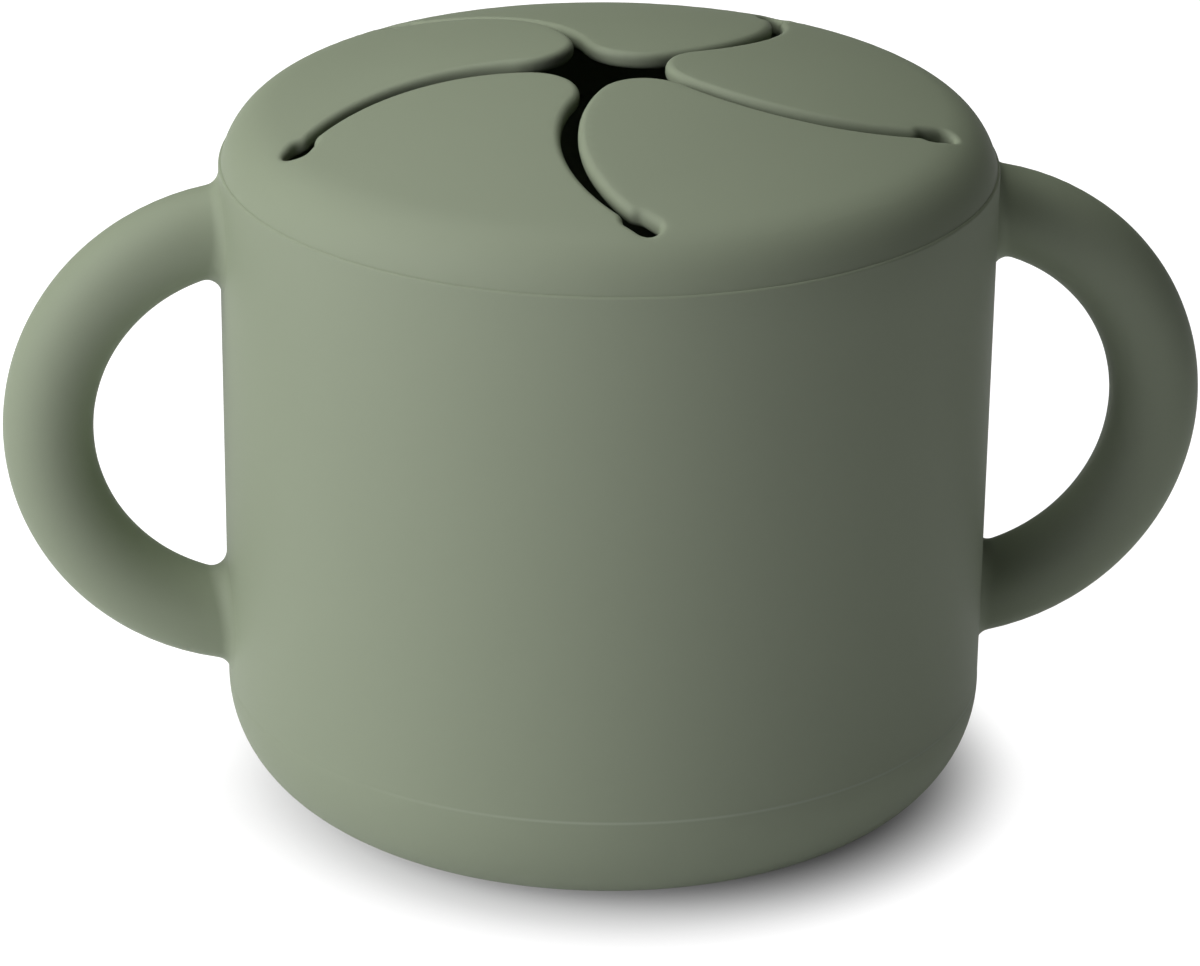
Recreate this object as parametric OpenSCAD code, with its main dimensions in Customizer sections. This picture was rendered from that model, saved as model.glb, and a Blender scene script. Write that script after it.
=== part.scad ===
// Two-handled silicone snack cup with a press-on lid.
// Curved slits cut the top of the lid into soft flaps that a small hand pushes through.
// Z is up, the cup stands on Z = 0 and the handles lie along X.

/* [Cup] */
// Outer diameter of the cup where the lid sits
cup_d = 90; // [88:0.5:92]
// Height of the cup up to the edge of the lid
cup_h = 77; // [72:0.5:86]
// Draft of the wall, which lets the cup leave its mould
draft = 0.4; // [0.1:0.1:1]
// Thickness of the wall
wall_t = 2.2; // [2:0.1:2.4]
// Thickness of the floor
floor_t = 3; // [2:0.1:4]
// Radius of the rounded base edge
base_r = 13.2; // [9:0.2:16]

/* [Handles] */
// Thickness of the round grip
grip_d = 10.5; // [9:0.1:12]
// Radius of a handle's ring, to the middle of the grip
ring_r = 24.6; // [22:0.1:25]
// Distance from the cup's axis to the centre of a handle's ring
ring_x = 40.6; // [39.5:0.1:42]
// Height of the centre of a handle's ring
ring_z = 45.4; // [43:0.1:47]
// Radius of the fillet where a handle grows out of the wall
root_fillet = 1.8; // [1:0.1:2.2]

/* [Lid] */
// Height of the lid above its seat on the cup
lid_h = 11.3; // [11:0.1:12]
// Thickness of the lid
lid_t = 2; // [1.8:0.1:2.2]
// Radius of the rounded shoulder
shoulder_r = 8; // [7.6:0.1:8.4]
// Height by which the middle of the shoulder lies below the seat
shoulder_drop = 1.8; // [1.4:0.1:2.2]
// Step by which the edge of the lid lies inside the wall of the cup
edge_step = 0.3; // [0.2:0.05:0.6]
// Turn of the lid on the cup
lid_turn = -1.2; // [-36:0.1:36]
// Depth of the plug ring that presses into the cup
plug_h = 6.5; // [5:0.1:9]
// Thickness of the plug ring
plug_t = 1.5; // [1.2:0.1:1.6]
// Gap between a seal rib and the wall
seal_gap = 0.06; // [0.05:0.01:0.1]

/* [Flaps] */
// Radius of the circle on which the end holes of the slits lie
hole_ring_r = 38; // [37.6:0.1:38.4]
// Width of an end hole
hole_w = 2.6; // [2.2:0.1:3]
// Length of an end hole along its slit
hole_l = 4.2; // [3.4:0.1:4.6]
// Radius of the curve that a slit follows
slit_r = 25; // [24.6:0.1:25.4]
// Angle between a slit and the lid's radius at the end hole
slit_lead = 42; // [41:0.5:43]
// Widest gap of a slit
slit_gap = 1.9; // [1.7:0.1:2.1]
// Radius of the rounded tip of a flap
tip_r = 6.5; // [6:0.1:7]

/* [Hidden] */
FLAPS = 5;
$fn = 96;
SAGE = [0.53, 0.56, 0.50];
DEEP_SAGE = [0.49, 0.52, 0.46];
PAST = 5; // how far a cutting solid runs past what it cuts

cup_r = cup_d / 2;
grip_r = grip_d / 2;
pitch = 360 / FLAPS;

// Lid profile: the shoulder is an arc, and the top is a sphere that runs on from it
lid_top = cup_h + lid_h;
lid_r = cup_r - edge_step;
shoulder_z = cup_h - shoulder_drop;
shoulder_x = lid_r - sqrt(pow(shoulder_r, 2) - pow(shoulder_drop, 2));
crown = lid_top - shoulder_z;
dome_r = (pow(crown, 2) + pow(shoulder_x, 2) - pow(shoulder_r, 2)) / (2 * (crown - shoulder_r));
dome_z = lid_top - dome_r;

// Plug ring, with two seal ribs that just clear the wall
bore_r = cup_r - wall_t / cos(draft) - plug_h * tan(draft);
plug_r = bore_r - 0.6;
plug_lead_in = 0.8;
rib_r = 0.7;
rib_drops = [1.8, 4.4];
seat_t = 1.6;

// Slits: the two edges are arcs about different centres, so the gap swells in the middle
slit_c = [hole_ring_r - slit_r * sin(slit_lead), slit_r * cos(slit_lead)];
swell = 1.3;
swell_way = [cos(105), -sin(105)];
convex_c = slit_c - swell * swell_way;
convex_r = slit_r + swell - slit_gap / 2;
concave_c = slit_c + swell * swell_way;
concave_r = slit_r - swell + slit_gap / 2;
tip_cross = 0.03;

// Bend line of a flap: a round root that turns in a groove of the lid ring, high enough in the
// lid that the root clears the next flap when it turns
root_r = lid_t / 2 + 1.3;
root_gap = 0.08;
root_lift = 0.4;
bend_half = hole_ring_r * sin(pitch / 2);
bend_x = hole_ring_r * cos(pitch / 2) - root_r;
bend_z = (dome_height(bend_x) + dome_height(hole_ring_r) - lid_t) / 2 + root_lift;
bend_down = 60;

function dome_height(r) = dome_z + sqrt(pow(dome_r, 2) - pow(r, 2));

function turned(p, a) = [p.x * cos(a) - p.y * sin(a), p.x * sin(a) + p.y * cos(a)];

function toward(a, b) = (b - a) / norm(b - a);

// Centre of the circle that lies ra from a and rb from b, on the left of the way from a to b
function meeting(a, ra, b, rb) =
    let (d = norm(b - a), u = toward(a, b), k = (d * d + ra * ra - rb * rb) / (2 * d))
    a + k * u + sqrt(ra * ra - k * k) * [-u.y, u.x];

// Half section of the cup's outside, or of its inside when inset from the wall and the floor
module cup_section(inset, floor_z, corner_r, top) {
    wall_x = cup_r - inset / cos(draft);
    corner_x = wall_x - (cup_h - floor_z - corner_r) * tan(draft) - corner_r / cos(draft);
    touch = [corner_x + corner_r * cos(draft), floor_z + corner_r - corner_r * sin(draft)];
    top_x = wall_x + (top - cup_h) * tan(draft);
    polygon([[0, floor_z], [corner_x, floor_z], touch, [top_x, top], [0, top]]);
    translate([corner_x, floor_z + corner_r]) circle(r = corner_r);
}

module cup_outline() {
    intersection() {
        cup_section(0, 0, base_r, cup_h);
        square([cup_d, cup_h]);
    }
}

module cup_body() {
    color(SAGE) rotate_extrude() difference() {
        cup_outline();
        cup_section(wall_t, floor_t, base_r - wall_t, cup_h + PAST);
    }
}

// Trumpet-shaped foot of a handle, square on the wall and sunk by what the round wall falls back
module handle_foot(side) {
    foot_r = grip_r + root_fillet;
    foot_z = ring_z + side * sqrt(pow(ring_r, 2) - pow(cup_r - ring_x, 2));
    foot_x = cup_r - (cup_h - foot_z) * tan(draft) - pow(foot_r, 2) / (4 * cup_r);
    translate([foot_x, 0, foot_z]) rotate([0, 90, 0]) rotate_extrude() difference() {
        translate([0, -PAST]) square([foot_r, PAST + root_fillet]);
        translate([foot_r, root_fillet]) circle(r = root_fillet);
    }
}

module handle() {
    half_turn = 105;
    color(SAGE) difference() {
        union() {
            translate([ring_x, 0, ring_z]) rotate([90, 0, 0]) rotate([0, 0, -half_turn])
                rotate_extrude(angle = 2 * half_turn) translate([ring_r, 0]) circle(r = grip_r);
            handle_foot(1);
            handle_foot(-1);
        }
        rotate_extrude() cup_outline();
    }
}

module right_handle() {
    handle();
}

module left_handle() {
    rotate([0, 0, 180]) handle();
}

// Half section under the lid's outer skin, or under a skin that lies inset below it
module dome_section(inset) {
    bend_over = shoulder_x * (dome_r - inset) / (dome_r - shoulder_r);
    intersection() {
        translate([0, dome_z]) circle(r = dome_r - inset);
        translate([0, cup_h]) square([bend_over, lid_h]);
    }
    intersection() {
        translate([shoulder_x, shoulder_z]) circle(r = shoulder_r - inset);
        translate([shoulder_x - inset, cup_h]) square([cup_r, lid_h]);
    }
}

module dome_shell() {
    rotate_extrude() difference() {
        dome_section(0);
        dome_section(lid_t);
    }
}

module plug_section() {
    inner_x = plug_r - plug_t;
    foot_z = cup_h - plug_h;
    polygon([[inner_x, foot_z], [plug_r - plug_lead_in, foot_z], [plug_r, foot_z + plug_lead_in],
             [plug_r, cup_h], [lid_r, cup_h], [lid_r, cup_h + seat_t], [inner_x, cup_h + seat_t]]);
    for (drop = rib_drops)
        translate([bore_r - seal_gap - rib_r, cup_h - drop]) circle(r = rib_r);
}

// Plan of a slit's end hole, for the slit that ends on the X axis
module end_hole() {
    reach = (hole_l - hole_w) / 2;
    translate([hole_ring_r, 0]) rotate(slit_lead) {
        square([2 * reach, hole_w], center = true);
        for (way = [-1, 1])
            translate([way * reach, 0]) circle(d = hole_w);
    }
}

module bend_rod(r) {
    translate([bend_x, 0, bend_z]) rotate([90, 0, 0]) cylinder(r = r, h = 2 * bend_half, center = true);
}

// Room in the lid ring for a flap's root, with a lip cut back for a flap that is bent down
module groove() {
    under = bend_z - dome_height(hole_ring_r) + lid_t + root_gap;
    lip = under * [sin(bend_down), -cos(bend_down)];
    translate([bend_x, bend_half, bend_z]) rotate([90, 0, 0]) linear_extrude(2 * bend_half) {
        circle(r = root_r + root_gap);
        polygon([[0, 0], lip, lip - PAST * [cos(bend_down), sin(bend_down)], [-PAST, -PAST], [-PAST, 0]]);
    }
}

module lid_ring() {
    color(DEEP_SAGE) rotate(lid_turn - 90) difference() {
        rotate_extrude() {
            difference() {
                dome_section(0);
                dome_section(lid_t);
            }
            intersection() {
                dome_section(0);
                translate([plug_r - plug_t, cup_h]) square([plug_t, lid_h]);
            }
            plug_section();
        }
        translate([0, 0, cup_h]) linear_extrude(2 * lid_h)
            polygon([for (i = [0:FLAPS - 1]) turned([bend_x / cos(pitch / 2), 0], i * pitch)]);
        for (i = [0:FLAPS - 1]) {
            rotate(i * pitch) translate([0, 0, cup_h]) linear_extrude(2 * lid_h) end_hole();
            rotate((i + 0.5) * pitch) groove();
        }
    }
}

// One flap, whose middle points along X: the room between two slits, with a tip that is rounded
// by a circle that just crosses both edges
module flap(i) {
    convex = turned(convex_c, -pitch / 2);
    concave = turned(concave_c, pitch / 2);
    tip = meeting(convex, convex_r - tip_r + tip_cross, concave, concave_r + tip_r - tip_cross);
    touch = [convex + convex_r * toward(convex, tip), concave + concave_r * toward(concave, tip)];
    across = toward(touch[0], touch[1]);
    beyond = cup_r * [-across.y, across.x];
    color(DEEP_SAGE) rotate(lid_turn - 90 + (i - 0.5) * pitch) difference() {
        intersection() {
            dome_shell();
            translate(convex) cylinder(r = convex_r, h = 2 * lid_top);
            union() {
                translate([-cup_r, -bend_half, cup_h]) cube([cup_r + bend_x, 2 * bend_half, lid_top]);
                bend_rod(root_r);
            }
        }
        translate(concave) cylinder(r = concave_r, h = 2 * lid_top);
        difference() {
            linear_extrude(2 * lid_top) polygon([touch[0], touch[1], touch[1] + beyond, touch[0] + beyond]);
            translate(tip) cylinder(r = tip_r, h = 2 * lid_top);
        }
        for (way = [-1, 1])
            rotate(way * pitch / 2) linear_extrude(2 * lid_top) end_hole();
    }
}

cup_body();
left_handle();
right_handle();
lid_ring();
for (i = [1:FLAPS])
    flap(i);
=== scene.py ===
"""Two-handled silicone snack cup with a press-on lid that five curved slits cut into soft flaps.

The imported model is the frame. Every moulding is built here in millimetres, in the frame's own
axes (Z up, handles along X), and scaled to metres as its mesh is made.
"""

from __future__ import annotations

import logging
import math
import sys
from dataclasses import dataclass, field
from enum import Enum
from typing import Any, Callable, Iterable

import bmesh
import bpy
from mathutils import Matrix, Quaternion, Vector
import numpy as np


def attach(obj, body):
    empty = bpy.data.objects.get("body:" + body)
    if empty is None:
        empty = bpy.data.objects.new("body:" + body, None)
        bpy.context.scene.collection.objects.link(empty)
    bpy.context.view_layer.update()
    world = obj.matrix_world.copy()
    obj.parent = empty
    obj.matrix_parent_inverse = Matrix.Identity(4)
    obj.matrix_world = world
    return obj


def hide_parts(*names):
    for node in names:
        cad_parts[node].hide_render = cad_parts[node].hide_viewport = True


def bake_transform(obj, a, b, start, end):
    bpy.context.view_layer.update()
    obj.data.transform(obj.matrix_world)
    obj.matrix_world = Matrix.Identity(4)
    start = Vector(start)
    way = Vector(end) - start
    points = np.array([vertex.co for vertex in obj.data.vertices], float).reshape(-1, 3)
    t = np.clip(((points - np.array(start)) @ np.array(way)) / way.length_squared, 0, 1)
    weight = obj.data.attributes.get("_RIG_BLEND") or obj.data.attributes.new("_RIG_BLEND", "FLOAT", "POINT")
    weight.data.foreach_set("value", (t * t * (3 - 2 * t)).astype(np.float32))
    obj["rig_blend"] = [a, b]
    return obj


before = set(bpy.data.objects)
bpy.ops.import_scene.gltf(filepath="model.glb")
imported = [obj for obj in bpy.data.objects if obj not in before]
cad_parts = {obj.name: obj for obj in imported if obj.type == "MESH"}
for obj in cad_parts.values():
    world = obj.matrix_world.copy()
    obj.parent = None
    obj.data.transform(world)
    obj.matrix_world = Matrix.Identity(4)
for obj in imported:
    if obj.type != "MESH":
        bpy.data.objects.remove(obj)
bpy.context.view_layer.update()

MM = 0.001
UP = Vector((0.0, 0.0, 1.0))
ORIGIN = Vector((0.0, 0.0, 0.0))
FLAPS = 5
PITCH = 360.0 / FLAPS
NEAR = 0.01  # mm within which two places count as one
WELD = 0.001  # mm within which the two ends of a full spin are merged
STEEP = 0.5  # a face whose normal rises less than this is a wall
WHITE = "ffffff"
MIX_SHARE, MIX_FIRST, MIX_SECOND, MIX_RESULT = 0, 6, 7, 2  # sockets of a colour mix, by number

log = logging.getLogger("snack_cup")


class Body(Enum):
    """The rigid bodies of the frame that the pieces ride on."""

    CUP = "cup"
    LID = "lid"


class Side(Enum):
    """The side of the cup that a handle grows from, as a turn about Z in degrees."""

    RIGHT = 0.0
    LEFT = 180.0


def linear(hex_colour: str) -> tuple[float, float, float, float]:
    """Turns an sRGB hex colour into the linear RGBA that shader sockets take.

    Args:
        hex_colour: Six hex digits, such as "8c9681".

    Returns:
        Linear red, green, blue and an alpha of 1.
    """
    channels = [int(hex_colour[i : i + 2], 16) / 255.0 for i in (0, 2, 4)]
    bent = [c / 12.92 if c <= 0.04045 else ((c + 0.055) / 1.055) ** 2.4 for c in channels]
    return (bent[0], bent[1], bent[2], 1.0)


def turned(point: Vector, degrees: float) -> Vector:
    """Turns a point about Z.

    Args:
        point: The point.
        degrees: The angle, anticlockwise seen from above.

    Returns:
        The turned point.
    """
    return Matrix.Rotation(math.radians(degrees), 3, "Z") @ point


def sweep(centre: Vector, first: Vector, last: Vector) -> float:
    """Signed angle of the shorter way from one point to another about a centre, in plan.

    Args:
        centre: The centre of the arc.
        first: Where the arc starts.
        last: Where the arc ends.

    Returns:
        The angle in degrees, positive anticlockwise.
    """
    a, b = first - centre, last - centre
    return math.degrees(math.atan2(a.x * b.y - a.y * b.x, a.x * b.x + a.y * b.y))


class Pen:
    """Draws a chain of edges through a bmesh, as straight runs and spun arcs."""

    def __init__(self, bm: bmesh.types.BMesh, start: Vector, axis: Vector = UP) -> None:
        """Puts the pen down.

        Args:
            bm: The mesh that is drawn in.
            start: The first point.
            axis: The axis that arcs turn about.
        """
        self.bm = bm
        self.axis = axis
        self.tip = bm.verts.new(start)

    def line(self, point: Vector) -> "Pen":
        """Draws a straight run.

        Args:
            point: Where the run ends.

        Returns:
            The pen, at the run's end.
        """
        grown = bmesh.ops.extrude_vert_indiv(self.bm, verts=[self.tip])
        self.tip = grown["verts"][0]
        self.tip.co = point
        return self

    def arc(self, centre: Vector, degrees: float, steps: int) -> "Pen":
        """Draws an arc about a centre.

        Args:
            centre: The centre of the arc.
            degrees: How far the arc turns.
            steps: How many edges it has.

        Returns:
            The pen, at the arc's end.
        """
        spun = bmesh.ops.spin(
            self.bm, geom=[self.tip], cent=centre, axis=self.axis,
            angle=math.radians(degrees), steps=steps,
        )
        self.tip = next(g for g in spun["geom_last"] if isinstance(g, bmesh.types.BMVert))
        return self


def move(
    verts: Iterable[bmesh.types.BMVert], place: Callable[[bmesh.types.BMVert], Vector]
) -> None:
    """Moves vertices by a rule.

    Args:
        verts: The vertices.
        place: Gives a vertex's new place.
    """
    for vert in verts:
        vert.co = place(vert)


def ring_edges(verts: Iterable[bmesh.types.BMVert]) -> list[bmesh.types.BMEdge]:
    """Edges that have both ends among some vertices."""
    inside = set(verts)
    return list({e for v in inside for e in v.link_edges if e.other_vert(v) in inside})


def grow(
    bm: bmesh.types.BMesh,
    edges: list[bmesh.types.BMEdge],
    place: Callable[[bmesh.types.BMVert], Vector],
) -> list[bmesh.types.BMEdge]:
    """Extrudes an open edge loop and moves the new loop into place.

    Args:
        bm: The mesh.
        edges: The open loop.
        place: Gives the place of a new vertex, which starts where it was extruded.

    Returns:
        The edges of the new loop.
    """
    grown = bmesh.ops.extrude_edge_only(bm, edges=edges)["geom"]
    move([g for g in grown if isinstance(g, bmesh.types.BMVert)], place)
    return [g for g in grown if isinstance(g, bmesh.types.BMEdge) and len(g.link_faces) == 1]


def rounded(
    bm: bmesh.types.BMesh, edges: list[bmesh.types.BMEdge], radius: float, segments: int
) -> None:
    """Rounds edges to a radius.

    Args:
        bm: The mesh.
        edges: The edges.
        radius: How far the rounding reaches on to the faces beside an edge.
        segments: How many faces a rounding has across.
    """
    bmesh.ops.bevel(
        bm, geom=edges, offset=radius, offset_type="OFFSET", segments=segments,
        profile=0.5, affect="EDGES", clamp_overlap=False, material=-1,
    )


def piece(bm: bmesh.types.BMesh, name: str, outward: bool = True) -> bpy.types.Object:
    """Makes an object of a mesh that was built in millimetres.

    Args:
        bm: The mesh, which is freed.
        name: The object's name.
        outward: Whether the faces' directions are worked out anew.

    Returns:
        The object, at the origin, shaded smooth.
    """
    if outward:
        bmesh.ops.recalc_face_normals(bm, faces=bm.faces)
    bmesh.ops.scale(bm, vec=(MM, MM, MM), verts=bm.verts)
    for face in bm.faces:
        face.smooth = True
        face.material_index = 0
    mesh = bpy.data.meshes.new(name)
    bm.to_mesh(mesh)
    bm.free()
    made = bpy.data.objects.new(name, mesh)
    bpy.context.scene.collection.objects.link(made)
    return made


def node(
    tree: bpy.types.NodeTree,
    kind: str,
    settings: dict[str | int, Any] | None = None,
    links: dict[str | int, bpy.types.NodeSocket] | None = None,
) -> bpy.types.Node:
    """Adds a shader node, sets it and links it.

    Args:
        tree: The node tree.
        kind: The node's type name, such as "ShaderNodeTexNoise".
        settings: Values by the name of an attribute, or the name or number of an input socket.
        links: Output sockets by the name or number of the input that they go to.

    Returns:
        The node.
    """
    made = tree.nodes.new(kind)
    for key, value in (settings or {}).items():
        if isinstance(key, int) or key in made.inputs:
            made.inputs[key].default_value = value
        else:
            setattr(made, key, value)
    for key, socket in (links or {}).items():
        tree.links.new(socket, made.inputs[key])
    return made


@dataclass(frozen=True)
class MattSilicone:
    """Liquid silicone rubber, moulded in a fine-blasted steel mould.

    The blasted mould leaves a soft matt skin with a faint even grain, so highlights spread wide.
    The pigment is mixed into the rubber, and handling leaves the skin a little uneven in tone.
    """

    name: str = "matt_moulded_silicone"
    colour: str = "909a82"
    deep: str = "8b957d"  # the darker tone of the clouds
    cloud_mm: float = 38.0
    cloud_detail: float = 3.0
    cloud_rough: float = 0.55
    roughness: float = 0.62
    roughness_spread: float = 0.04
    ior: float = 1.41
    specular: float = 0.35
    grain_mm: float = 0.35  # grit marks are finer, drawn as coarse as shows
    grain_depth_mm: float = 0.006
    grain_strength: float = 0.5
    grain_detail: float = 2.0
    grain_rough: float = 0.6
    painted_highlight: str = "9da791"  # painted highlight along the parting line, where a thin ridge catches the light
    painted_highlight_height_mm: float = 13.5
    painted_highlight_half_mm: float = 0.24
    painted_highlight_fades_mm: tuple[float, float] = (-32.0, -6.0)  # along X, the painted highlight fades to nothing on the left

    def build(self) -> bpy.types.Material:
        """Builds the material.

        Returns:
            The material, with its colour, roughness and bump from nodes on Object coordinates.
        """
        material = bpy.data.materials.new(self.name)
        material.use_nodes = True
        tree = material.node_tree
        tree.nodes.clear()
        where = node(tree, "ShaderNodeTexCoord").outputs["Object"]
        cloud = node(
            tree, "ShaderNodeTexNoise",
            {"Scale": 1.0 / (self.cloud_mm * MM), "Detail": self.cloud_detail,
             "Roughness": self.cloud_rough},
            {"Vector": where},
        ).outputs["Fac"]
        tone = node(
            tree, "ShaderNodeMix",
            {"data_type": "RGBA", MIX_FIRST: linear(self.deep), MIX_SECOND: linear(self.colour)},
            {MIX_SHARE: cloud},
        )
        # mixes a painted highlight along the parting line into the skin's tone
        tone_and_painted_highlight = node(
            tree, "ShaderNodeMix",
            {"data_type": "RGBA", MIX_SECOND: linear(self.painted_highlight)},
            {MIX_SHARE: self.painted_highlight_line(tree, where), MIX_FIRST: tone.outputs[MIX_RESULT]},
        )
        grain = node(
            tree, "ShaderNodeTexNoise",
            {"Scale": 1.0 / (self.grain_mm * MM), "Detail": self.grain_detail,
             "Roughness": self.grain_rough},
            {"Vector": where},
        )
        shine = node(
            tree, "ShaderNodeMapRange",
            {"To Min": self.roughness - self.roughness_spread,
             "To Max": self.roughness + self.roughness_spread},
            {"Value": cloud},
        )
        bump = node(
            tree, "ShaderNodeBump",
            {"Strength": self.grain_strength, "Distance": self.grain_depth_mm * MM},
            {"Height": grain.outputs["Fac"]},
        )
        skin = node(
            tree, "ShaderNodeBsdfPrincipled",
            {"IOR": self.ior, "Specular IOR Level": self.specular},
            {
                "Base Color": tone_and_painted_highlight.outputs[MIX_RESULT],
                "Roughness": shine.outputs["Result"],
                "Normal": bump.outputs["Normal"],
            },
        )
        node(tree, "ShaderNodeOutputMaterial", links={"Surface": skin.outputs["BSDF"]})
        return material

    def painted_highlight_line(
        self, tree: bpy.types.NodeTree, where: bpy.types.NodeSocket
    ) -> bpy.types.NodeSocket:
        """Paints a highlight along the level line on which the mould halves meet.

        Args:
            tree: The material's node tree.
            where: The Object coordinates.

        Returns:
            How strongly the painted highlight shows, from 0 to 1.
        """
        place = node(tree, "ShaderNodeSeparateXYZ", links={"Vector": where})
        above = node(
            tree, "ShaderNodeMath",
            {"operation": "SUBTRACT", 1: self.painted_highlight_height_mm * MM}, {0: place.outputs["Z"]},
        )
        away = node(tree, "ShaderNodeMath", {"operation": "ABSOLUTE"}, {0: above.outputs[0]})
        fades_from, fades_to = self.painted_highlight_fades_mm
        clear = node(
            tree, "ShaderNodeMapRange",
            {"From Min": fades_from * MM, "From Max": fades_to * MM},
            {"Value": place.outputs["X"]},
        )
        return node(
            tree, "ShaderNodeMapRange",
            {"From Max": self.painted_highlight_half_mm * MM, "To Max": 0.0},
            {"Value": away.outputs[0], "To Min": clear.outputs["Result"]},
        ).outputs["Result"]


@dataclass
class CupShell:
    """The moulded cup: a nearly straight wall on a round base, open at the top."""

    radius: float = 45.0
    height: float = 77.0
    draft: float = 0.4  # degrees by which the wall leans out
    wall: float = 2.2
    floor: float = 3.0
    base_round: float = 13.2
    rim_round: float = 0.35
    parting_height: float = 13.45
    parting_rise: float = 0.03
    parting_step: float = 0.12
    spokes: int = 256
    base_steps: int = 24
    bore_steps: int = 16
    rim_steps: tuple[int, int] = (5, 4)  # outside, inside
    # where further rings of faces run: radii on the base and the floor, heights on the walls
    base_rings: tuple[float, ...] = (12.0, 24.0)
    floor_ring: float = 20.0
    parting_ring: float = 0.2
    wall_rings: tuple[float, ...] = (22.0, 34.0, 46.0, 58.0, 70.0)
    bore_rings: tuple[float, ...] = (60.0, 45.0, 30.0)

    def wall_radius(self, z: float) -> float:
        """Radius of the outer wall at a height above the base's round edge."""
        return self.radius - (self.height - z) * math.tan(math.radians(self.draft))

    def corner(self, inset: float, bottom: float, bend: float) -> tuple[Vector, Vector]:
        """Works out the round corner between the floor and the wall.

        Args:
            inset: How far the wall lies inside the outer wall.
            bottom: Height of the flat that the corner starts from.
            bend: Radius of the corner.

        Returns:
            The corner's centre, and the point where it meets the wall.
        """
        slope = math.radians(self.draft)
        wall_x = self.radius - inset / math.cos(slope)
        rise = self.height - bottom - bend
        x = wall_x - rise * math.tan(slope) - bend / math.cos(slope)
        centre = Vector((x, 0.0, bottom + bend))
        return centre, centre + bend * Vector((math.cos(slope), 0.0, -math.sin(slope)))

    def build(self) -> bpy.types.Object:
        """Spins the half section about Z.

        Returns:
            The cup's shell.
        """
        bm = bmesh.new()
        turn = Vector((0.0, -1.0, 0.0))
        quarter = 90.0 - self.draft
        outer, _ = self.corner(-self.parting_rise, 0.0, self.base_round)
        inner, bore = self.corner(self.wall, self.floor, self.base_round - self.wall)
        pen = Pen(bm, ORIGIN, turn)
        for x in (*self.base_rings, outer.x):
            pen.line(Vector((x, 0.0, 0.0)))
        pen.arc(outer, quarter, self.base_steps)
        low, high = self.parting_height, self.parting_height + self.parting_step
        pen.line(Vector((self.wall_radius(low) + self.parting_rise, 0.0, low)))
        for z in (high, high + self.parting_ring, *self.wall_rings):
            pen.line(Vector((self.wall_radius(z), 0.0, z)))
        rim = self.rim_round
        pen.line(Vector((self.radius, 0.0, self.height - rim)))
        pen.arc(Vector((self.radius - rim, 0.0, self.height - rim)), 90.0, self.rim_steps[0])
        mouth = self.radius - self.wall
        pen.line(Vector((mouth + rim, 0.0, self.height)))
        pen.arc(Vector((mouth + rim, 0.0, self.height - rim)), 90.0, self.rim_steps[1])
        for z in self.bore_rings:
            pen.line(Vector((self.wall_radius(z) - self.wall, 0.0, z)))
        pen.line(bore)
        pen.arc(inner, -quarter, self.bore_steps)
        for x in (self.floor_ring, 0.0):
            pen.line(Vector((x, 0.0, self.floor)))
        bmesh.ops.spin(
            bm, geom=bm.verts[:] + bm.edges[:], cent=ORIGIN, axis=UP,
            angle=math.tau, steps=self.spokes, use_merge=True,
        )
        bmesh.ops.remove_doubles(bm, verts=bm.verts, dist=WELD)
        return piece(bm, "cup_shell")


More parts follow.
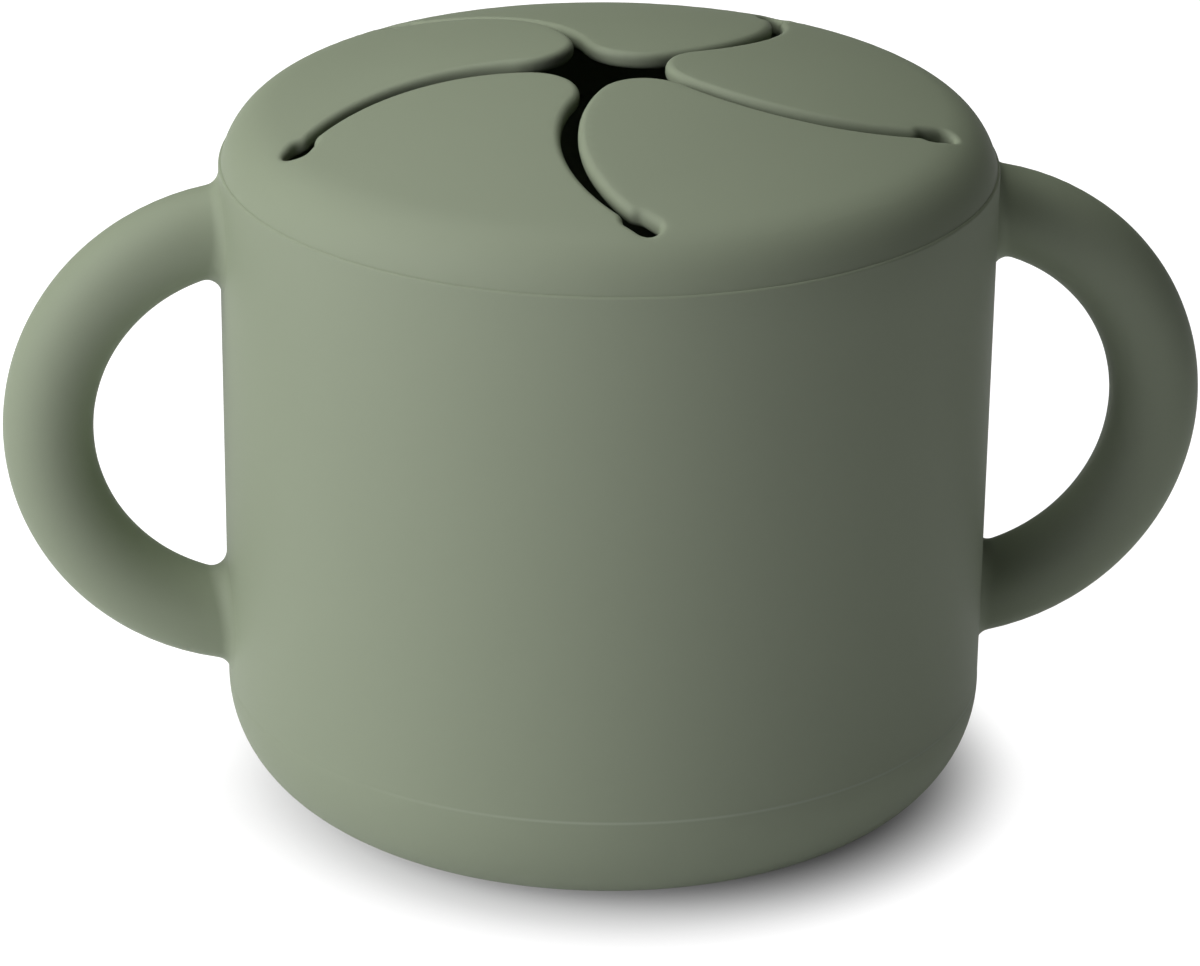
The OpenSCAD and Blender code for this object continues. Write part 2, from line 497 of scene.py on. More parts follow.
@dataclass
class Handle:
    """One round grip that bends out of the wall and back into it, with a fillet at each root."""

    side: Side
    cup: CupShell
    grip: float = 10.5
    ring: float = 24.6
    ring_x: float = 40.6
    ring_z: float = 45.4
    fillet: float = 1.8
    run_out: float = 9.0  # length of grip at each root that is fitted to the wall
    sunk: float = 0.6
    around: int = 48
    along: int = 72
    run_steps: int = 5
    fillet_steps: int = 8
    search: tuple[float, float] = (0.5, 1.3)  # shares of the meeting angle to look between
    halvings: int = 40

    @property
    def centre(self) -> Vector:
        """Centre of the ring that the grip follows."""
        return Vector((self.ring_x, 0.0, self.ring_z))

    @property
    def hit(self) -> float:
        """Angle of the ring at which it meets the wall, in radians."""
        return math.acos((self.cup.radius - self.ring_x) / self.ring)

    @property
    def stop(self) -> float:
        """Angle of the ring at which the fitted part of the grip starts, in radians."""
        return self.hit - self.run_out / self.ring

    def on_grip(self, turn: float, around: float, reach: float) -> Vector:
        """Point beside the grip's middle line.

        Args:
            turn: Angle along the ring, in radians.
            around: Angle round the grip, from the side away from the ring's centre.
            reach: Distance from the middle line.

        Returns:
            The point.
        """
        out = Vector((math.cos(turn), 0.0, math.sin(turn)))
        flat = (self.ring + reach * math.cos(around)) * out
        return self.centre + flat + Vector((0.0, reach * math.sin(around), 0.0))

    def touch(self, way: float, around: float) -> float:
        """Angle along the ring at which a ball rolls in the corner of grip and wall.

        Args:
            way: 1 for the upper root, -1 for the lower one.
            around: Angle round the grip at which the ball touches it.

        Returns:
            The angle in radians.
        """
        near, far = (share * self.hit for share in self.search)
        for _ in range(self.halvings):
            half = 0.5 * (near + far)
            ball = self.on_grip(way * half, around, 0.5 * self.grip + self.fillet)
            if ball.xy.length > self.cup.wall_radius(ball.z) + self.fillet:
                near = half
            else:
                far = half
        return way * near

    def on_run(self, way: float, around: float, share: float) -> Vector:
        """Point on the last of the grip, before its fillet.

        Args:
            way: 1 for the upper root, -1 for the lower one.
            around: Angle round the grip.
            share: How far along, from 0 at the ring's end to 1 at the fillet.

        Returns:
            The point.
        """
        start, end = way * self.stop, self.touch(way, around)
        return self.on_grip(start + share * (end - start), around, 0.5 * self.grip)

    def on_fillet(self, way: float, around: float, share: float) -> Vector:
        """Point on the fillet that a ball leaves as it rolls in the corner of grip and wall.

        Args:
            way: 1 for the upper root, -1 for the lower one.
            around: Angle round the grip at which the ball touches it.
            share: How far across, from 0 on the grip to 1 on the wall.

        Returns:
            The point.
        """
        turn = self.touch(way, around)
        ball = self.on_grip(turn, around, 0.5 * self.grip + self.fillet)
        to_grip = self.on_grip(turn, around, 0.5 * self.grip) - ball
        to_wall = -self.fillet * Vector((ball.x, ball.y, 0.0)).normalized()
        return ball + self.fillet * Vector(to_grip.slerp(to_wall, share))

    def root(self, bm: bmesh.types.BMesh, edges: list[bmesh.types.BMEdge], way: float) -> None:
        """Runs the grip on to the wall, with the fillet that a ball rolls in the corner.

        Args:
            bm: The mesh.
            edges: The grip's last ring.
            way: 1 for the upper root, -1 for the lower one.
        """
        angle = bm.verts.layers.float["around"]

        def sink(vert: bmesh.types.BMVert) -> Vector:
            """Rule for the grip's hidden end.

            Args:
                vert: A vertex on the wall.

            Returns:
                Its place, a little way inside the wall.
            """
            middle = self.on_grip(way * self.hit, 0.0, 0.0)
            outward = Vector((vert.co.x, vert.co.y, 0.0)).normalized()
            return vert.co + self.sunk * ((middle - vert.co).normalized() - outward)

        for rule, steps in ((self.on_run, self.run_steps), (self.on_fillet, self.fillet_steps)):
            for share in (part / steps for part in range(1, steps + 1)):
                edges = grow(bm, edges, lambda vert: rule(way, vert[angle], share))
        for edge in edges:
            edge.smooth = False
        bmesh.ops.contextual_create(bm, geom=grow(bm, edges, sink))

    def build(self) -> bpy.types.Object:
        """Spins the grip round its ring, then lays its roots on the wall.

        Returns:
            The handle.
        """
        bm = bmesh.new()
        grip = 0.5 * self.grip
        angle = bm.verts.layers.float.new("around")
        circle = bmesh.ops.create_circle(
            bm, cap_ends=False, radius=grip, segments=self.around,
            matrix=Matrix.Translation((self.ring, 0.0, 0.0)),
        )["verts"]
        for vert in circle:
            vert[angle] = math.atan2(vert.co.y, vert.co.x - self.ring)
        move(circle, lambda vert: self.on_grip(-self.stop, vert[angle], grip))
        first = ring_edges(circle)
        spun = bmesh.ops.spin(
            bm, geom=circle + first, cent=self.centre, axis=(0.0, -1.0, 0.0),
            angle=2.0 * self.stop, steps=self.along,
        )
        last = [g for g in spun["geom_last"] if isinstance(g, bmesh.types.BMEdge)]
        self.root(bm, first, -1.0)
        self.root(bm, last, 1.0)
        bm.verts.layers.float.remove(bm.verts.layers.float["around"])
        bmesh.ops.rotate(
            bm, cent=ORIGIN, matrix=Matrix.Rotation(math.radians(self.side.value), 3, "Z"),
            verts=bm.verts,
        )
        return piece(bm, f"{self.side.name.lower()}_grip")


@dataclass
class PinwheelLid:
    """The press-on lid: a low dome with a round shoulder, a plug ring, and five curved slits.

    Each slit runs from a round-ended hole near the shoulder to the opening in the middle. What
    lies between two slits is a flap, which bends along a line between its two holes.
    """

    seat: float = 77.0
    edge: float = 44.7
    thick: float = 2.0
    top: float = 88.3
    shoulder: float = 8.0
    shoulder_drop: float = 1.8
    shoulder_steps: int = 14
    turn: float = -1.2  # degrees by which the lid is turned on the cup
    crisp: float = 0.06
    sunk: float = 0.03  # how far the foot is sunk in the cup's rim, so that the two don't flicker
    plug: float = 42.155
    plug_wall: float = 1.5
    plug_depth: float = 6.5
    plug_root: float = 0.3
    plug_nick: float = 0.2
    plug_nose: tuple[tuple[float, float], ...] = ((0.0, 0.9), (0.15, 0.5), (0.8, 0.0))
    plug_rings: tuple[float, float] = (-2.0, 1.2)
    rib: float = 0.54
    rib_drops: tuple[float, float] = (1.8, 4.4)
    rib_half: float = 0.7
    rib_parts: tuple[float, ...] = (-1.0, -0.5, 0.0, 0.5, 1.0)
    plan_edge: float = 41.4
    plan_steps: int = 40
    hole_ring: float = 38.0
    hole_wide: float = 2.7
    hole_long: float = 4.5
    hole_steps: tuple[int, int, int] = (8, 4, 2)  # long outer arc, inner arcs, short outer arc
    slit: float = 25.0
    slit_steps: tuple[int, int] = (34, 26)  # convex edge, concave edge
    lead: float = 42.0  # degrees between a hole's length and the radius
    gap: float = 2.0
    swell: float = 1.3  # how far the centres of the two edges' arcs lie from the middle one's
    swell_way: float = -105.0  # degrees
    neck: float = 1.4
    neck_steps: int = 5
    tip: float = 6.5
    tip_steps: int = 16
    rim_top: float = 0.9
    rim_under: float = 0.7
    rim_steps: tuple[int, int] = (5, 3)  # top, underside
    rest: tuple[float, ...] = (2.0, 0.7, -1.4, 1.7, 0.1)  # degrees above flush, flap by flap
    bend_to: float = 25.3  # distance from the axis at which a flap has bent
    cell: float = 1.15  # width of the cells that let the mesh bend
    catch: float = 0.05  # how near a cell's edge a vertex counts as on it
    seam_catch: float = 0.002  # the same on a flap's seam
    fifth_weld: float = 0.003  # how near two fifths' vertices are merged
    shoulder_x: float = field(init=False)
    shoulder_z: float = field(init=False)
    dome: float = field(init=False)
    dome_z: float = field(init=False)

    def __post_init__(self) -> None:
        """Works out the dome that meets the shoulder without a corner."""
        self.shoulder_z = self.seat - self.shoulder_drop
        self.shoulder_x = self.edge - math.sqrt(self.shoulder**2 - self.shoulder_drop**2)
        crown = self.top - self.shoulder_z
        spread = crown**2 + self.shoulder_x**2 - self.shoulder**2
        self.dome = spread / (2.0 * (crown - self.shoulder))
        self.dome_z = self.top - self.dome

    def skin(self, radius: float, inset: float) -> float:
        """Height of the lid's outer skin, or of a skin inset below it.

        Args:
            radius: Distance from the axis.
            inset: How far below the outer skin.

        Returns:
            The height.
        """
        if radius > self.shoulder_x * (self.dome - inset) / (self.dome - self.shoulder):
            bend = self.shoulder - inset
            return self.shoulder_z + math.sqrt(max(bend**2 - (radius - self.shoulder_x) ** 2, 0.0))
        return self.dome_z + math.sqrt((self.dome - inset) ** 2 - radius**2)

    @property
    def seam(self) -> float:
        """Distance from the axis to the line on which a flap parts from the ring."""
        return self.hole_ring * math.cos(math.radians(0.5 * PITCH))

    @property
    def inner(self) -> float:
        """Radius of the plug ring's inner wall, where the dome's underside ends."""
        return self.plug - self.plug_wall

    @property
    def first_flap(self) -> float:
        """Angle of the first flap's middle on the cup, in degrees from X."""
        return self.turn - 90.0 + 0.5 * PITCH

    def slit_edges(self) -> tuple[Vector, float, Vector, float]:
        """Arcs of a slit's two edges, for the slit whose hole lies on X.

        Returns:
            Centre and radius of the convex flap edge, then of the concave one.
        """
        lead, way = math.radians(self.lead), math.radians(self.swell_way)
        sideways = self.hole_ring - self.slit * math.sin(lead)
        middle = Vector((sideways, self.slit * math.cos(lead), 0.0))
        swell = self.swell * Vector((math.cos(way), math.sin(way), 0.0))
        half = 0.5 * self.gap
        return (middle - swell, self.slit + self.swell - half,
                middle + swell, self.slit - self.swell + half)

    @staticmethod
    def meeting(a: Vector, reach_a: float, b: Vector, reach_b: float) -> Vector:
        """Point at given distances from two points, on the left of the way between them.

        Args:
            a: The first point.
            reach_a: Distance from the first point.
            b: The second point.
            reach_b: Distance from the second point.

        Returns:
            The point.
        """
        apart = (b - a).length
        along = (b - a) / apart
        foot = (apart**2 + reach_a**2 - reach_b**2) / (2.0 * apart)
        rise = math.sqrt(reach_a**2 - foot**2)
        return a + foot * along + rise * Vector((-along.y, along.x, 0.0))

    def sector_plan(self, bm: bmesh.types.BMesh) -> None:
        """Draws the plan of one fifth of the lid, with a flap's middle along X, as one face.

        Args:
            bm: The mesh that is drawn in.
        """
        half = 0.5 * PITCH
        round_r = 0.5 * self.hole_wide
        reach = 0.5 * (self.hole_long - self.hole_wide)
        convex, convex_r, concave, concave_r = self.slit_edges()
        lead = math.radians(self.lead)
        along = Vector((math.cos(lead), math.sin(lead), 0.0))
        side = Vector((-along.y, along.x, 0.0))
        middle = Vector((self.hole_ring, 0.0, 0.0))
        near, far = middle - reach * along, middle + reach * along
        # the hole's outermost point on X, and where the slit's edges run into its near end
        outlet = Vector((far.x + math.sqrt(round_r**2 - far.y**2), 0.0, 0.0))
        neck_convex = self.meeting(near, round_r + self.neck, convex, convex_r - self.neck)
        neck_concave = self.meeting(near, round_r + self.neck, concave, concave_r + self.neck)
        low, high = -half, half
        bulge, hollow = turned(convex, low), turned(concave, high)
        tip = self.meeting(bulge, convex_r - self.tip, hollow, concave_r + self.tip)
        touch_convex = bulge + convex_r * (tip - bulge).normalized()
        touch_concave = hollow + concave_r * (tip - hollow).normalized()
        long_arc, inner_arc, short_arc = self.hole_steps
        pen = Pen(bm, turned(outlet, low))
        pen.arc(turned(far, low), sweep(far, outlet, far + round_r * side), long_arc)
        pen.line(turned(near + round_r * side, low))
        into = near + round_r * (neck_convex - near).normalized()
        onto = convex + convex_r * (neck_convex - convex).normalized()
        pen.arc(turned(near, low), sweep(near, near + round_r * side, into), inner_arc)
        pen.arc(turned(neck_convex, low), sweep(neck_convex, into, onto), self.neck_steps)
        pen.arc(bulge, sweep(bulge, pen.tip.co, touch_convex), self.slit_steps[0])
        pen.arc(tip, sweep(tip, touch_convex, touch_concave), self.tip_steps)
        off = concave + concave_r * (neck_concave - concave).normalized()
        into = near + round_r * (neck_concave - near).normalized()
        pen.arc(hollow, sweep(hollow, touch_concave, turned(off, high)), self.slit_steps[1])
        pen.arc(turned(neck_concave, high), sweep(neck_concave, off, into), self.neck_steps)
        pen.arc(turned(near, high), sweep(near, into, near - round_r * side), inner_arc)
        pen.line(turned(far - round_r * side, high))
        pen.arc(turned(far, high), sweep(far, far - round_r * side, outlet), short_arc)
        pen.line(turned(Vector((self.plan_edge, 0.0, 0.0)), high))
        pen.arc(ORIGIN, -PITCH, self.plan_steps)
        bmesh.ops.remove_doubles(bm, verts=bm.verts, dist=NEAR)
        ends = [v for v in bm.verts if len(v.link_edges) == 1]
        bmesh.ops.contextual_create(bm, geom=ends)
        bmesh.ops.contextual_create(bm, geom=bm.edges[:])

    def around(self, bm: bmesh.types.BMesh) -> None:
        """Copies one fifth of the lid round the axis, numbers the fifths and merges them.

        A face's fifth is its material index until the lid is in parts.

        Args:
            bm: The mesh of the fifth.
        """
        fifth = bm.verts[:] + bm.edges[:] + bm.faces[:]
        for count in range(1, FLAPS):
            copied = bmesh.ops.duplicate(bm, geom=fifth)["geom"]
            for face in (g for g in copied if isinstance(g, bmesh.types.BMFace)):
                face.material_index = count
            bmesh.ops.rotate(
                bm, cent=ORIGIN, matrix=Matrix.Rotation(math.radians(count * PITCH), 3, "Z"),
                verts=[g for g in copied if isinstance(g, bmesh.types.BMVert)],
            )
        bmesh.ops.remove_doubles(bm, verts=bm.verts, dist=self.fifth_weld)

    def plate(self) -> bmesh.types.BMesh:
        """Makes the slit plate of the lid, flat, with its rims rounded, then gives it its dome.

        Returns:
            The domed plate, open at its outer edge above and below.
        """
        bm = bmesh.new()
        self.sector_plan(bm)
        self.around(bm)
        top = bm.faces[:]
        grown = bmesh.ops.extrude_face_region(bm, geom=top, use_keep_orig=True)["geom"]
        under = [g for g in grown if isinstance(g, bmesh.types.BMVert)]
        bmesh.ops.translate(bm, vec=(0.0, 0.0, -self.thick), verts=under)
        bm.normal_update()
        rim = self.plan_edge - NEAR
        outer = [f for f in bm.faces
                 if abs(f.normal.z) < STEEP and all(v.co.xy.length > rim for v in f.verts)]
        bmesh.ops.delete(bm, geom=outer, context="FACES")
        bmesh.ops.recalc_face_normals(bm, faces=bm.faces)
        walls = [f for f in bm.faces if abs(f.normal.z) < STEEP]
        above = [e for f in walls for e in f.edges if all(v.co.z > -NEAR for v in e.verts)]
        below = [e for f in walls for e in f.edges
                 if all(v.co.z < NEAR - self.thick for v in e.verts)]
        rounded(bm, above, self.rim_top, self.rim_steps[0])
        rounded(bm, below, self.rim_under, self.rim_steps[1])
        others = [f for f in bm.faces if f.material_index]
        bmesh.ops.delete(bm, geom=others, context="FACES")
        self.cut_cells(bm)
        self.around(bm)
        for vert in bm.verts:
            radius = vert.co.xy.length
            depth = -vert.co.z / self.thick
            over, under_skin = self.skin(radius, 0.0), self.skin(radius, self.thick)
            vert.co.z = (1.0 - depth) * over + depth * under_skin
            vert.co.z += self.raised(vert)
        return bm

    def raised(self, vert: bmesh.types.BMVert) -> float:
        """How far a point of a flap stands above the flush dome, as the soft flap rests.

        Args:
            vert: A vertex of the lid.

        Returns:
            The height in millimetres, 0 on the ring and rising from the flap's seam to its tip.
        """
        fifth = vert.link_faces[0].material_index
        past = max(self.seam - turned(vert.co, -fifth * PITCH).x, 0.0)
        run = self.seam - self.bend_to
        bent = past - 0.5 * run if past > run else 0.5 * past**2 / run
        return math.tan(math.radians(self.rest[fifth])) * bent

    def cut_cells(self, bm: bmesh.types.BMesh) -> None:
        """Cuts a fifth into cells small enough to bend, with one cut on the flap's seam.

        Args:
            bm: The mesh of the fifth, still flat.
        """
        steps = int(self.plan_edge / self.cell)
        across = Vector((1.0, 0.0, 0.0))
        self.cut(bm, self.seam * across, across, self.seam_catch)
        for x in (self.seam + k * self.cell for k in range(-steps, steps) if k):
            if 0.0 < x < self.plan_edge:
                self.cut(bm, x * across, across, self.catch)
        wide = int(self.plan_edge * math.sin(math.radians(0.5 * PITCH)) / self.cell)
        along = Vector((0.0, 1.0, 0.0))
        for k in range(-wide, wide + 1):
            self.cut(bm, k * self.cell * along, along, self.catch)

    @staticmethod
    def cut(bm: bmesh.types.BMesh, point: Vector, across: Vector, catch: float) -> None:
        """Cuts a whole mesh along a plane.

        Args:
            bm: The mesh.
            point: A point of the plane.
            across: The plane's normal.
            catch: How near a vertex may lie to count as cut, so that no slivers are left.
        """
        bmesh.ops.bisect_plane(
            bm, geom=bm.verts[:] + bm.edges[:] + bm.faces[:], dist=catch,
            plane_co=point, plane_no=across,
        )

    def skirt(self, bm: bmesh.types.BMesh) -> None:
        """Grows the shoulder, the edge, the seat and the plug ring from the plate's outer edge.

        Args:
            bm: The domed plate.
        """
        rim = self.plan_edge - self.catch
        open_edges = [e for e in bm.edges if len(e.link_faces) == 1
                      and all(v.co.xy.length > rim for v in e.verts)]
        split = self.skin(self.plan_edge, 0.5 * self.thick)
        above = [e for e in open_edges if e.verts[0].co.z > split]
        below = [e for e in open_edges if e.verts[0].co.z <= split]
        for edges in (above, below):
            for vert in {v for e in edges for v in e.verts}:
                scale = self.plan_edge / vert.co.xy.length
                vert.co.x *= scale
                vert.co.y *= scale
                vert.co.z = self.skin(self.plan_edge, 0.0 if edges is above else self.thick)
        edges = above
        for radius, z in self.skirt_profile():
            def place(vert: bmesh.types.BMVert, radius: float = radius, z: float = z) -> Vector:
                """Place of a vertex on the skirt's next ring."""
                flat = vert.co.xy.normalized() * radius
                return Vector((flat.x, flat.y, z))
            edges = grow(bm, edges, place)
        bmesh.ops.bridge_loops(bm, edges=edges + below)

    def skirt_profile(self) -> list[tuple[float, float]]:
        """Section of the skirt, from the plate's top over the shoulder and foot to the plug ring.

        Returns:
            Radius and height of each ring after the plate's outer edge.
        """
        profile: list[tuple[float, float]] = []
        start = math.acos((self.plan_edge - self.shoulder_x) / self.shoulder)
        stop = math.asin((self.shoulder_drop + self.crisp) / self.shoulder)
        for part in range(1, self.shoulder_steps + 1):
            angle = start + (stop - start) * part / self.shoulder_steps
            profile.append((self.shoulder_x + self.shoulder * math.cos(angle),
                            self.shoulder_z + self.shoulder * math.sin(angle)))
        low = self.seat - self.sunk
        profile += [(self.edge, self.seat), (self.edge, low), (self.edge - self.crisp, low),
                    (self.plug + self.plug_root, self.seat),
                    (self.plug, self.seat - self.plug_nick)]
        foot = self.seat - self.plug_depth
        for drop in self.rib_drops:
            for part in self.rib_parts:
                profile.append((self.plug + self.rib * math.cos(0.5 * math.pi * part),
                                self.seat - drop - self.rib_half * part))
        profile += [(self.plug - inset, foot + rise) for inset, rise in self.plug_nose]
        profile += [(self.inner + self.plug_nick, foot), (self.inner, foot + self.plug_nick)]
        profile += [(self.inner, self.seat + rise) for rise in self.plug_rings]
        return profile

    def part_flap(self, whole: bmesh.types.BMesh, number: int) -> bmesh.types.BMesh:
        """Takes one flap off a copy of the lid.

        Args:
            whole: The whole lid, with the middle of its first flap along X.
            number: Which flap, from 0.

        Returns:
            The flap alone, closed at its seam.
        """
        flap = whole.copy()
        self.keep(flap, lambda f: self.flap_of(f) == number)
        return flap

    def flap_of(self, face: bmesh.types.BMFace) -> int | None:
        """Which flap a face belongs to, or None for the ring."""
        across = turned(face.calc_center_median(), -face.material_index * PITCH).x
        return face.material_index if across < self.seam else None

    def keep(self, bm: bmesh.types.BMesh, wanted: Callable[[bmesh.types.BMFace], bool]) -> None:
        """Keeps the wanted faces, and closes the cut that this leaves with flat, sharp-edged caps.

        Args:
            bm: The mesh that is cut down.
            wanted: Says whether a face stays.
        """
        away = [f for f in bm.faces if not wanted(f)]
        bmesh.ops.delete(bm, geom=away, context="FACES")
        cut = [e for e in bm.edges if len(e.link_faces) == 1]
        for edge in cut:
            edge.smooth = False
        bmesh.ops.holes_fill(bm, edges=cut, sides=0)

    def build(self) -> tuple[bpy.types.Object, list[bpy.types.Object]]:
        """Builds the lid and parts it into its ring and its flaps.

        Returns:
            The ring, and the five flaps in order.
        """
        whole = self.plate()
        self.skirt(whole)
        bmesh.ops.recalc_face_normals(whole, faces=whole.faces)
        flaps = []
        for number in range(FLAPS):
            flap = self.part_flap(whole, number)
            self.place(flap)
            flaps.append(piece(flap, f"soft_flap_{number + 1}", outward=False))
        self.keep(whole, lambda f: self.flap_of(f) is None)
        self.place(whole)
        return piece(whole, "lid_dome", outward=False), flaps

    def place(self, bm: bmesh.types.BMesh) -> None:
        """Turns a part of the lid from its own axes to how the lid sits on the cup."""
        seated = Matrix.Rotation(math.radians(self.first_flap), 3, "Z")
        bmesh.ops.rotate(bm, cent=ORIGIN, matrix=seated, verts=bm.verts)

    def seam_points(self, number: int) -> tuple[Vector, Vector]:
        """Where a flap starts to bend and where it has bent.

        Args:
            number: Which flap, from 0.

        Returns:
            The two points of the middle skin, in metres.
        """
        angle = self.first_flap + number * PITCH
        z = self.skin(self.seam, 0.5 * self.thick)
        ends = (Vector((self.seam, 0.0, z)), Vector((self.bend_to, 0.0, z)))
        return turned(ends[0], angle) * MM, turned(ends[1], angle) * MM


@dataclass(frozen=True)
class Lamp:
    """A soft square lamp, with its place and side in metres and its power in watts."""

    name: str
    place: tuple[float, float, float]
    side: float
    power: float
    colour: str = WHITE

    def hang(self, aim: Vector) -> None:
        """Adds the lamp.

        Args:
            aim: The point that it faces, in metres.
        """
        data = bpy.data.lights.new(self.name, "AREA")
        data.shape = "SQUARE"
        data.size = self.side
        data.energy = self.power
        data.color = linear(self.colour)[:3]
        made = bpy.data.objects.new(self.name, data)
        made.location = self.place
        made.rotation_mode = "QUATERNION"
        made.rotation_quaternion = (aim - Vector(self.place)).to_track_quat("-Z", "Y")
        bpy.context.scene.collection.objects.link(made)


@dataclass
class Studio:
    """The white floor, the lamps and the camera."""

    distance: float = 692.4
    lens: float = 176.2
    sensor: float = 36.0
    clip: tuple[float, float] = (50.0, 20000.0)
    azimuth: float = -6.56  # degrees, as the next two are
    elevation: float = 22.89
    roll: float = 0.67
    look_at: float = 36.27  # height that the middle of the picture is at
    aside: float = -0.634
    floor_side: float = 6000.0
    floor_cells: int = 8
    floor_colour: str = "f7f7fa"
    shaded_colour: str = "919191"  # darker paper that the camera sees where it isn't lifted, so the real shadow and the painted shadow round the foot show on it
    glossy_share: float = 0.6
    # the shade fields below shape a painted shadow round the cup's foot
    shade_middle: tuple[float, float, float] = (3.6, -1.2, 0.0)
    shade_from: float = 26.6  # distance from that middle at which the painted shadow starts to fade
    shade_to: float = 54.2
    shade_lean: float = 0.12  # how much faster the painted shadow ends on the side away from the lamps
    shade_reach: float = 60.0  # how far along X that lean goes on growing
    lamp_aim: float = 45.0
    lamps: tuple[Lamp, ...] = (
        Lamp("window_lamp", (-0.75, -0.35, 0.62), 0.55, 3.95),
        Lamp("low_side_lamp", (-0.95, -0.15, 0.30), 0.60, 2.8),
        Lamp("top_lamp", (-0.25, 0.25, 0.93), 0.80, 5.0),
        Lamp("front_side_lamp", (-0.60, -0.70, 0.45), 0.60, 1.38, "eee3ff"),
    )

    def camera(self) -> None:
        """Sets up the camera."""
        turn, rise = math.radians(self.azimuth), math.radians(self.elevation)
        level = Vector((math.sin(turn), -math.cos(turn), 0.0))
        back = math.cos(rise) * level + math.sin(rise) * UP
        right = Vector((math.cos(turn), math.sin(turn), 0.0))
        data = bpy.data.cameras.new("camera")
        data.sensor_width = self.sensor
        data.lens = self.lens
        data.clip_start, data.clip_end = (end * MM for end in self.clip)
        camera = bpy.data.objects.new("camera", data)
        camera.location = (self.look_at * UP + self.aside * right + self.distance * back) * MM
        camera.rotation_mode = "QUATERNION"
        roll = Quaternion(UP, math.radians(self.roll))
        camera.rotation_quaternion = (-back).to_track_quat("-Z", "Y") @ roll
        bpy.context.scene.collection.objects.link(camera)
        bpy.context.scene.camera = camera

    def shade(self, tree: bpy.types.NodeTree) -> bpy.types.NodeSocket:
        """Paints a soft shadow round the cup's foot, by fading the paper's lift out towards it.

        Args:
            tree: The paper's node tree.

        Returns:
            How much of the lift is left, from 0 at the foot to 1.
        """
        where = node(tree, "ShaderNodeTexCoord").outputs["Object"]
        away = node(tree, "ShaderNodeVectorMath",
                    {"operation": "DISTANCE", 1: Vector(self.shade_middle) * MM}, {0: where})
        across = node(tree, "ShaderNodeSeparateXYZ", links={"Vector": where})
        side = node(tree, "ShaderNodeClamp",
                    {"Min": -self.shade_reach * MM, "Max": self.shade_reach * MM},
                    {"Value": across.outputs["X"]})
        ends = ((self.shade_from, self.shade_lean), (self.shade_to, -self.shade_lean))
        start, stop = (
            node(tree, "ShaderNodeMath", {"operation": "MULTIPLY_ADD", 1: lean, 2: end * MM},
                 {0: side.outputs["Result"]}).outputs[0]
            for end, lean in ends
        )
        return node(tree, "ShaderNodeMapRange", {"interpolation_type": "SMOOTHSTEP"},
                    {"Value": away.outputs["Value"], "From Min": start, "From Max": stop},
                    ).outputs["Result"]

    def floor_material(self) -> bpy.types.Material:
        """White seamless paper: matt, and lifted to plain white for the camera.

        The lift fades out towards the cup's foot, which paints a soft shadow there on top of the paper's
        real shadow.

        Returns:
            The material.
        """
        material = bpy.data.materials.new("white_paper_sweep")
        material.use_nodes = True
        tree = material.node_tree
        tree.nodes.clear()
        paths = node(tree, "ShaderNodeLightPath")
        seen = node(tree, "ShaderNodeMath", {"operation": "MULTIPLY_ADD", 1: self.glossy_share},
                    {0: paths.outputs["Is Glossy Ray"], 2: paths.outputs["Is Camera Ray"]})
        # the lift fades near the foot, leaving a painted shadow there
        lift = node(tree, "ShaderNodeMath", {"operation": "MULTIPLY"},
                    {0: seen.outputs[0], 1: self.shade(tree)})
        glow = node(tree, "ShaderNodeEmission", {"Color": linear(WHITE)},
                    {"Strength": lift.outputs[0]})
        paper = node(tree, "ShaderNodeBsdfDiffuse", {"Color": linear(self.floor_colour)})
        shaded = node(tree, "ShaderNodeBsdfDiffuse", {"Color": linear(self.shaded_colour)})
        either = node(tree, "ShaderNodeMixShader", links={
            "Fac": paths.outputs["Is Camera Ray"], 1: paper.outputs[0], 2: shaded.outputs[0]})
        both = node(tree, "ShaderNodeAddShader", links={0: either.outputs[0], 1: glow.outputs[0]})
        node(tree, "ShaderNodeOutputMaterial", links={"Surface": both.outputs[0]})
        return material

    def floor(self) -> None:
        """Lays the floor."""
        bm = bmesh.new()
        bmesh.ops.create_grid(bm, x_segments=self.floor_cells, y_segments=self.floor_cells,
                              size=0.5 * self.floor_side)
        laid = piece(bm, "paper_floor", outward=False)
        laid.data.materials.append(self.floor_material())

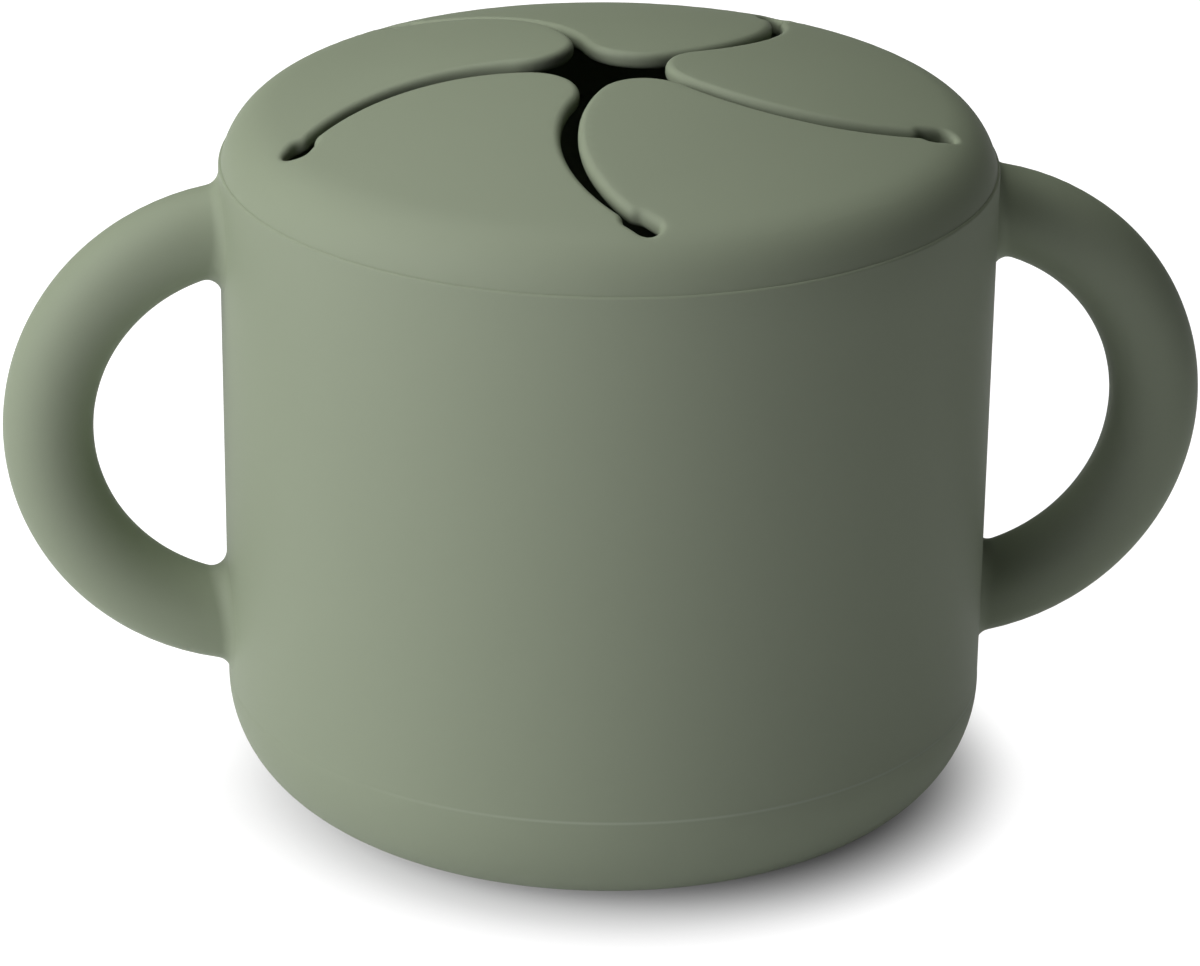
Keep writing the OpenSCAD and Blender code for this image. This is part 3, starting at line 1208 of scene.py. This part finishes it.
    def world(self) -> None:
        """Makes the background plain white for the camera, and dark for everything else."""
        world = bpy.data.worlds.new("room")
        bpy.context.scene.world = world
        world.use_nodes = True
        tree = world.node_tree
        tree.nodes.clear()
        paths = node(tree, "ShaderNodeLightPath")
        dark = node(tree, "ShaderNodeBackground", {"Color": linear(WHITE), "Strength": 0.0})
        white = node(tree, "ShaderNodeBackground", {"Color": linear(WHITE), "Strength": 1.0})
        mix = node(tree, "ShaderNodeMixShader", links={
            "Fac": paths.outputs["Is Camera Ray"], 1: dark.outputs[0], 2: white.outputs[0]})
        node(tree, "ShaderNodeOutputWorld", links={"Surface": mix.outputs[0]})

    def build(self) -> None:
        """Sets up camera, floor, background and lamps."""
        self.camera()
        self.floor()
        self.world()
        for lamp in self.lamps:
            lamp.hang(self.lamp_aim * MM * UP)
        bpy.context.scene.view_settings.view_transform = "Standard"


def report(made: bpy.types.Object, body: str) -> None:
    """Writes a piece's name, body and size to the log.

    Args:
        made: The piece.
        body: The body that it rides on.
    """
    size = made.dimensions / MM
    log.info("%s on %s: %d faces, %.1f x %.1f x %.1f mm", made.name, body,
             len(made.data.polygons), size.x, size.y, size.z)


def main() -> None:
    """Builds the cup, its handles and its lid, and dresses and lights them."""
    logging.basicConfig(level=logging.INFO, format="%(name)s: %(message)s", stream=sys.stdout)
    studio = Studio()
    studio.build()
    silicone = MattSilicone().build()

    cup = CupShell()
    shell = cup.build()
    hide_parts("cup_body")
    pieces = [(shell, Body.CUP.value, "cup_silicone")]
    for side in Side:
        grip = Handle(side, cup).build()
        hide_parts(f"{side.name.lower()}_handle")
        pieces.append((grip, Body.CUP.value, "cup_silicone"))

    lid = PinwheelLid()
    dome, flaps = lid.build()
    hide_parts("lid_ring")
    pieces.append((dome, Body.LID.value, "lid_silicone"))
    for made, body, slot in pieces:
        made.data.materials.append(silicone)
        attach(made, body)
        report(made, body)
    for number, flap in enumerate(flaps):
        name = f"flap_{number + 1}"
        flap.data.materials.append(silicone)
        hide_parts(name)
        start, end = lid.seam_points(number)
        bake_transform(flap, Body.LID.value, name, start=start, end=end)
        report(flap, name)


if __name__ == "__main__":
    main()
